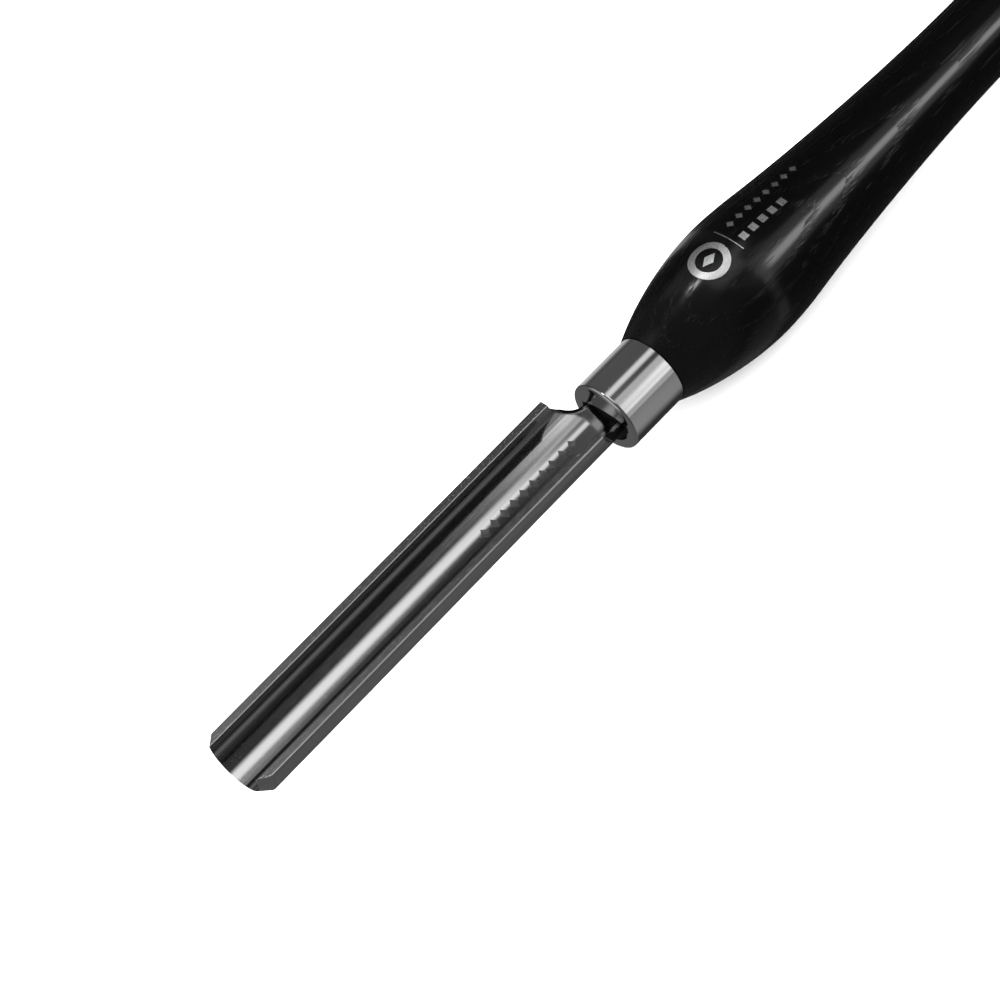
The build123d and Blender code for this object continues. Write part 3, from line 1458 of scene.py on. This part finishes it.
@dataclass(frozen=True)
class FlatShape:
    """Flat closed shapes, in millimetres, that a mark is made of.

    Args:
        low: height of the underside over the surface.
        high: height of the upper side over the surface.
        across: how many facets a band has across it, so that it follows a round surface.
    """

    low: float = -0.02
    high: float = 0.03
    across: int = 6
    round_steps: int = 72
    bar_steps: int = 12
    lozenge_steps: int = 10
    lozenge_reach: float = 0.98

    def strip(self, build: BMesh, left: list[Pair], right: list[Pair], closed: bool) -> None:
        """Add a closed band of film between two lines of points.

        Args:
            build: the mesh to add to.
            left: points (x, y) of one side.
            right: as many points of the other side.
            closed: whether the band runs round to its start.
        """
        shares = [i / self.across for i in range(self.across + 1)]
        rings = []
        for (ax, ay), (bx, by) in zip(left, right):
            line = [(ax + (bx - ax) * share, ay + (by - ay) * share) for share in shares]
            under = [(x, y, self.low) for x, y in line]
            over = [(x, y, self.high) for x, y in reversed(line)]
            rings.append(under + over)
        skin_rings(build, rings, closed, capped=not closed)

    def ring(self, build: BMesh, centre: Pair, outer: float, inner: float) -> None:
        """Add a flat ring.

        Args:
            build: the mesh to add to.
            centre: the middle of the ring.
            outer: its outer radius.
            inner: its inner radius.
        """
        x, y = centre
        middle = (inner + outer) / 2
        turns = [2 * math.pi * i / self.round_steps for i in range(self.round_steps)]
        for near, far in ((inner, middle), (middle, outer)):
            left = [(x + near * math.cos(turn), y + near * math.sin(turn)) for turn in turns]
            right = [(x + far * math.cos(turn), y + far * math.sin(turn)) for turn in turns]
            self.strip(build, left, right, closed=True)

    def bar(self, build: BMesh, start: Pair, end: Pair, width: float) -> None:
        """Add a bar along X or Y.

        Args:
            build: the mesh to add to.
            start: the middle of one end.
            end: the middle of the other end.
            width: how wide the bar is.
        """
        along_x = abs(end[0] - start[0]) > abs(end[1] - start[1])
        aside_x, aside_y = (0.0, width / 2) if along_x else (width / 2, 0.0)
        left, right = [], []
        for i in range(self.bar_steps + 1):
            x, y = (a + (b - a) * i / self.bar_steps for a, b in zip(start, end))
            left.append((x - aside_x, y - aside_y))
            right.append((x + aside_x, y + aside_y))
        self.strip(build, left, right, closed=False)

    def lozenge(self, build: BMesh, centre: Pair, half_long: float, half_wide: float) -> None:
        """Add a four-pointed lozenge with its long way along X.

        Args:
            build: the mesh to add to.
            centre: the middle of the lozenge.
            half_long: half its length.
            half_wide: half its width.
        """
        left, right = [], []
        for i in range(self.lozenge_steps + 1):
            share = self.lozenge_reach * (2 * i / self.lozenge_steps - 1)
            wide = half_wide * (1.0 - abs(share))
            left.append((centre[0] + half_long * share, centre[1] - wide))
            right.append((centre[0] + half_long * share, centre[1] + wide))
        self.strip(build, left, right, closed=False)


@dataclass
class LaidMark:
    """A flat mark with a row of tokens, laid on a surface of the tool.

    Args:
        name: the name of the finished piece.
        slot: the record's slot of the surface that it is laid on; not used.
        film: the finish of the mark.
        token_size: half length and half width of one token.
        count: how many tokens the row has.
        pitch: distance from one token to the next.
        start: centre of the first token.
    """

    name: str
    slot: str
    film: MarkFilm
    token_size: Pair
    count: int
    pitch: float
    start: Pair
    shape: FlatShape = field(default_factory=FlatShape)

    def device(self, build: BMesh) -> None:
        """Add what the mark has besides its row of tokens; a plain row has nothing."""

    def build(self, surface: Object) -> Object:
        """Lay the mark on a surface.

        Args:
            surface: the object that it is laid on.

        Returns:
            The mark's object.
        """
        flat = bmesh.new()
        self.device(flat)
        token = bmesh.new()
        self.shape.lozenge(token, (0.0, 0.0), *self.token_size)
        token_piece = show(mesh_of(token, self.name + "_token"), self.name + "_token")
        values = {
            "Surface": surface,
            "Token": token_piece,
            "Count": self.count,
            "Pitch": self.pitch * MM,
            "Start": (self.start[0] * MM, self.start[1] * MM, 0.0),
            "Finish": self.film.material(),
        }
        piece = run_tree(mesh_of(flat, self.name + "_flat"), self.name, mark_tree(), values)
        bpy.data.objects.remove(token_piece)
        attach(piece, "root")
        report(piece)
        return piece


@dataclass
class FoilDevice(LaidMark):
    """The handle's foil: a ring with a lozenge in it, an upright bar and the row of tokens.

    Args:
        centre: centre of the ring.
        ring_radius: outside of the ring.
        ring_band: width of the ring's band.
        heart: half length and half width of the lozenge in the ring.
        bar_gap: distance from the ring to the upright bar.
        bar_reach: half the bar's length.
        bar_width: the bar's width.
        squares: how many small squares there are.
        square_start: distance from the bar to the first square's middle.
        square_pitch: distance from one square to the next.
        square_side: width of a square.
        square_drop: how far the squares lie below the centre.
    """

    centre: Pair = (0.0, 0.0)
    ring_radius: float = 6.6
    ring_band: float = 2.3
    heart: Pair = (2.9, 1.7)
    bar_gap: float = 2.6
    bar_reach: float = 5.8
    bar_width: float = 0.32
    squares: int = 5
    square_start: float = 3.6
    square_pitch: float = 4.3
    square_side: float = 2.5
    square_drop: float = 3.0

    def device(self, build: BMesh) -> None:
        """Add the ring, its lozenge, the upright bar and the row of small squares.

        Args:
            build: the mesh to add to.
        """
        x, y = self.centre
        self.shape.ring(build, self.centre, self.ring_radius, self.ring_radius - self.ring_band)
        self.shape.lozenge(build, self.centre, *self.heart)
        upright = x + self.ring_radius + self.bar_gap
        foot, head = (upright, y - self.bar_reach), (upright, y + self.bar_reach)
        self.shape.bar(build, foot, head, self.bar_width)
        level, half = y - self.square_drop, self.square_side / 2
        for i in range(self.squares):
            middle = upright + self.square_start + self.square_pitch * i
            self.shape.bar(build, (middle - half, level), (middle + half, level), self.square_side)


# Studio
@dataclass(frozen=True)
class SoftCard:
    """A soft light that polished surfaces see, as a window of directions round the tool.

    Args:
        bearing: middle of the card about the tool's axis, in degrees up from +Y.
        half_spread: half of its spread about the axis, in degrees.
        fade: degrees over which it fades out.
        lean_from: its near side, as the direction's share along +X.
        lean_to: its far side.
        lean_fade: share over which those sides fade.
        strength: how bright it is.
    """

    bearing: float
    half_spread: float
    fade: float
    lean_from: float
    lean_to: float
    lean_fade: float
    strength: float


@dataclass
class Studio:
    """A pale floor in a white room, soft cards for the polished surfaces, and the camera."""

    places: ToolPlaces
    room_white: float = 3.2
    dim_room: float = 0.035
    far_room: float = 0.13
    room_blend: Pair = (0.02, 0.2)
    first_bounce: float = 1.5
    inner_reflection: float = 0.22
    floor_tone: float = 0.92
    floor_half: float = 2500.0
    floor_drop: float = 0.05
    cards: tuple[SoftCard, ...] = (
        SoftCard(99.0, 6.0, 20.0, 0.13, 0.335, 0.02, 1.17),
        SoftCard(76.0, 3.0, 15.0, 0.13, 0.29, 0.03, 0.24),
        SoftCard(87.0, 3.0, 10.0, 0.35, 0.43, 0.02, 0.92),
        SoftCard(136.0, 21.0, 7.0, 0.355, 0.70, 0.015, 0.62),
        SoftCard(147.0, 6.0, 14.0, 0.365, 0.44, 0.015, 0.45),
        SoftCard(165.0, 8.0, 4.0, 0.36, 0.40, 0.02, 0.42),
        SoftCard(139.0, 3.0, 8.0, 0.47, 0.70, 0.06, 6.0),
        SoftCard(-157.0, 16.0, 40.0, 0.36, 0.40, 0.02, 0.32),
        SoftCard(-118.0, 22.0, 35.0, 0.20, 0.34, 0.03, 0.12),
        SoftCard(-28.0, 8.0, 28.0, 0.36, 0.40, 0.02, 0.60),
        SoftCard(45.0, 25.0, 30.0, 0.36, 0.40, 0.02, 0.085),
        SoftCard(52.0, 10.0, 16.0, 0.05, 0.225, 0.04, 0.28),
        SoftCard(75.0, 1.0, 5.0, 0.06, 0.10, 0.03, 16.0),
        SoftCard(54.0, 9.0, 30.0, -0.60, -0.25, 0.06, 0.42),
        SoftCard(95.0, 40.0, 20.0, -1.0, -0.66, 0.10, 0.45),
    )
    camera_azimuth: float = -30.7506
    camera_elevation: float = 49.3982
    camera_roll: float = -21.1569
    camera_distance: float = 973.27
    camera_lens: float = 120.13
    aim_from_edge: float = 113.86
    aim_side: float = 4.08
    aim_above_axis: float = 3.0

    def card_light(self, wiring: Wiring, bearing: Socket, lean: Socket, card: SoftCard) -> Socket:
        """Wire one card's brightness.

        Args:
            wiring: the world's wiring.
            bearing: socket with the direction's angle about the tool, in radians.
            lean: socket with the direction's share along +X.
            card: the card.

        Returns:
            A socket with the card's brightness in that direction.
        """
        offset = wiring.math("SUBTRACT", bearing, math.radians(card.bearing))
        wrapped = wiring.math("WRAP", offset, math.pi, -math.pi)
        away = wiring.math("ABSOLUTE", wrapped)
        inner = math.radians(card.half_spread)
        outer = inner + math.radians(card.fade)
        window = wiring.ramp(away, inner, outer, (card.strength, 0.0))
        near = wiring.ramp(lean, card.lean_from - card.lean_fade, card.lean_from)
        far = wiring.ramp(lean, card.lean_to, card.lean_to + card.lean_fade, (1.0, 0.0))
        return wiring.math("MULTIPLY", window, wiring.math("MULTIPLY", near, far))

    def light_room(self) -> None:
        """Wire the world: white for the eye and the floor, dim with soft cards in reflections."""
        world = bpy.data.worlds.new("studio")
        bpy.context.scene.world = world
        world.use_nodes = True
        world.node_tree.nodes.clear()
        world.cycles.sampling_method = "NONE"
        wiring = Wiring(world.node_tree)
        direction = wiring.add("ShaderNodeTexCoord").outputs["Generated"]
        parts = wiring.add("ShaderNodeSeparateXYZ", {0: wiring.vector("NORMALIZE", direction)})
        bearing = wiring.math("ARCTAN2", parts.outputs["Z"], parts.outputs["Y"])
        lean = parts.outputs["X"]
        total = wiring.ramp(lean, *self.room_blend, (self.far_room, self.dim_room))
        for card in self.cards:
            total = wiring.math("ADD", total, self.card_light(wiring, bearing, lean, card))
        path = wiring.add("ShaderNodeLightPath")
        second = wiring.math("GREATER_THAN", path.outputs["Glossy Depth"], self.first_bounce)
        forward = wiring.math("MULTIPLY", second, wiring.math("GREATER_THAN", lean, 0.0))
        kept = wiring.math("MULTIPLY_ADD", forward, self.inner_reflection - 1.0, 1.0)
        strength = wiring.math("MULTIPLY", total, kept)
        seen = wiring.add("ShaderNodeBackground", {"Strength": strength, "Color": grey(1.0)})
        white = wiring.add("ShaderNodeBackground", {"Strength": self.room_white, "Color": grey(1.0)})
        given = {0: path.outputs["Is Glossy Ray"], 1: white.outputs[0], 2: seen.outputs[0]}
        choice = wiring.add("ShaderNodeMixShader", given)
        wiring.add("ShaderNodeOutputWorld", {"Surface": choice.outputs[0]})

    def lay_floor(self) -> Object:
        """Lay the pale floor under the tool.

        Returns:
            The floor's object.
        """
        half, drop = self.floor_half * MM, -self.floor_drop * MM
        corners = [(-half, -half, drop), (half, -half, drop), (half, half, drop), (-half, half, drop)]
        mesh = bpy.data.meshes.new("pale_floor")
        mesh.from_pydata(corners, [], [(0, 1, 2, 3)])
        floor = show(mesh, "pale_floor")
        material, wiring, shader = blank_material("floor_white")
        given = {"Base Color": grey(self.floor_tone), "Roughness": 1.0, "Specular IOR Level": 0.0}
        wiring.fill(shader, given)
        mesh.materials.append(material)
        floor.visible_glossy = False
        return floor

    def place_camera(self) -> None:
        """Place the camera by its direction, roll and distance from the point it looks at."""
        azimuth, elevation = math.radians(self.camera_azimuth), math.radians(self.camera_elevation)
        roll = math.radians(self.camera_roll)
        flat = math.cos(elevation)
        back = Vector((math.sin(azimuth) * flat, -math.cos(azimuth) * flat, math.sin(elevation)))
        level = Vector((math.cos(azimuth), math.sin(azimuth), 0.0))
        upright = back.cross(level)
        right = level * math.cos(roll) + upright * math.sin(roll)
        up = back.cross(right)
        above = self.places.axis + self.aim_above_axis
        aim = Vector((self.places.edge + self.aim_from_edge, self.aim_side, above))
        data = bpy.data.cameras.new("viewpoint")
        data.lens = self.camera_lens
        data.sensor_width = SENSOR_WIDTH
        camera = bpy.data.objects.new("viewpoint", data)
        bpy.context.scene.collection.objects.link(camera)
        turn = Matrix((right, up, back)).transposed().to_4x4()
        camera.matrix_world = Matrix.Translation((aim + back * self.camera_distance) * MM) @ turn
        bpy.context.scene.camera = camera

    def build(self) -> None:
        """Build the whole studio."""
        bpy.context.scene.view_settings.view_transform = "Standard"
        self.light_room()
        self.lay_floor()
        self.place_camera()


def main() -> None:
    """Build the tool's pieces and the studio."""
    logging.basicConfig(level=logging.INFO, format="%(name)s: %(message)s")
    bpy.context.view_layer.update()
    places = ToolPlaces.from_frame()
    finishes = SteelFinishes()
    mouth = MouthOutline(axis=places.axis)
    blade = Blade(places, finishes).build()
    Ferrule(places, finishes, mouth).build()
    AdhesiveBed(places, mouth).build()
    # black bead beside the neck: partly adhesive, partly painted shade
    AdhesiveAndShadeBead(places).build()
    handle = Handle(places).build()
    foil = MarkFilm("silver_foil", tone=0.93, metallic=1.0, smooth=0.26, rough=0.46)
    FoilDevice(
        name="foil_mark",
        slot="ash",
        film=foil,
        token_size=(1.3, 1.5),
        count=8,
        pitch=4.1,
        start=(places.shoulder + 44.5, 1.9),
        centre=(places.shoulder + 30.5, -1.5),
    ).build(handle)
    etch = MarkFilm("etched_dull", tone=0.22, metallic=1.0, smooth=0.4, rough=0.6)
    LaidMark(
        name="etched_row",
        slot="blade_steel",
        film=etch,
        token_size=(1.6, 2.0),
        count=10,
        pitch=4.3,
        start=(places.face - 51.5, 1.3),
        shape=FlatShape(low=-0.015, high=0.012),
    ).build(blade)
    Studio(places).build()


if __name__ == "__main__":
    main()
